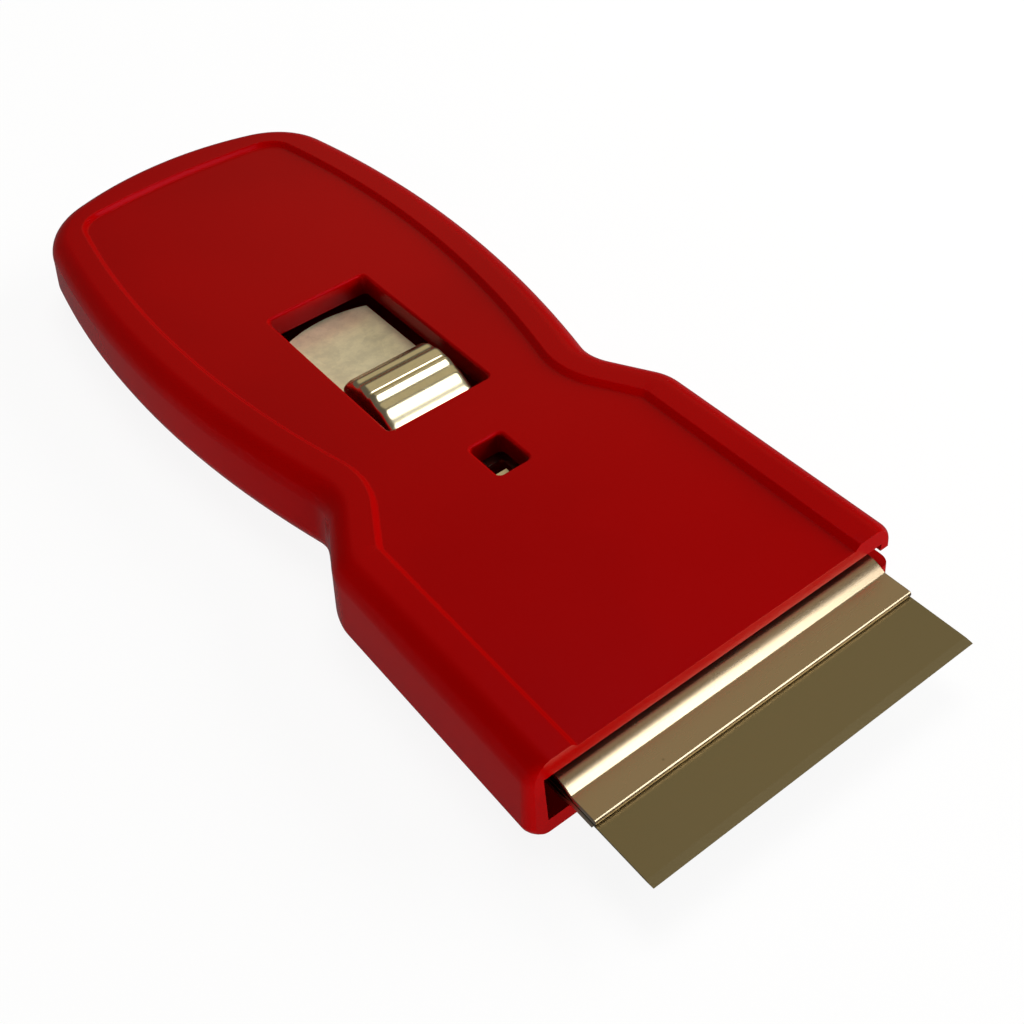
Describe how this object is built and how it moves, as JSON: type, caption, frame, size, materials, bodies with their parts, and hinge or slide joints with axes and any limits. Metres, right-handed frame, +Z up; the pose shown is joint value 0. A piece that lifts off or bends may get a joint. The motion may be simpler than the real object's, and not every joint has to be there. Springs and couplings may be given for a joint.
{
  "type": "razor blade scraper",
  "caption": "Flat hand scraper: a waisted moulded handle with a sunk panel, and a steel carriage that slides a single-edge blade out of its wide mouth by a ribbed thumb hump.",
  "frame": {"origin": "on the plane of the underside, below the middle of the whole length", "axes": "-Y towards the blade's edge, +Y towards the handle's rear end, +X to the side with the blade's notch, +Z up out of the panel"},
  "size_m": [0.0458, 0.1264, 0.0102],
  "materials": {
    "red_plastic": "smooth glossy deep red moulding",
    "plate_steel": "satin sheet steel with a warm tint",
    "blade_steel": "fine satin blade steel with a faint oil film",
    "spring_steel": "bright spring steel with a warm tint",
    "rivet_steel": "plain steel"
  },
  "bodies": {
    "handle": {"handle": "red_plastic"},
    "carriage": {"carrier_bed": "plate_steel", "clamp_plate": "plate_steel", "blade": "blade_steel", "blade_back": "plate_steel", "clamp_rivets": "rivet_steel", "spring_rivets": "rivet_steel"},
    "thumb": {"thumb_spring": "spring_steel"}
  },
  "joints": [
    {"name": "carriage_slide", "type": "slide", "parent": "handle", "child": "carriage", "axis": [0, 1, 0], "range_m": [0, 0.0138]},
    {"name": "thumb_press", "type": "hinge", "parent": "carriage", "child": "thumb", "pos_m": [0, -0.04056, 0.0059], "axis": [-1, 0, 0], "range_deg": [0, 3], "stiffness_Nm_per_rad": 2.5}
  ]
}
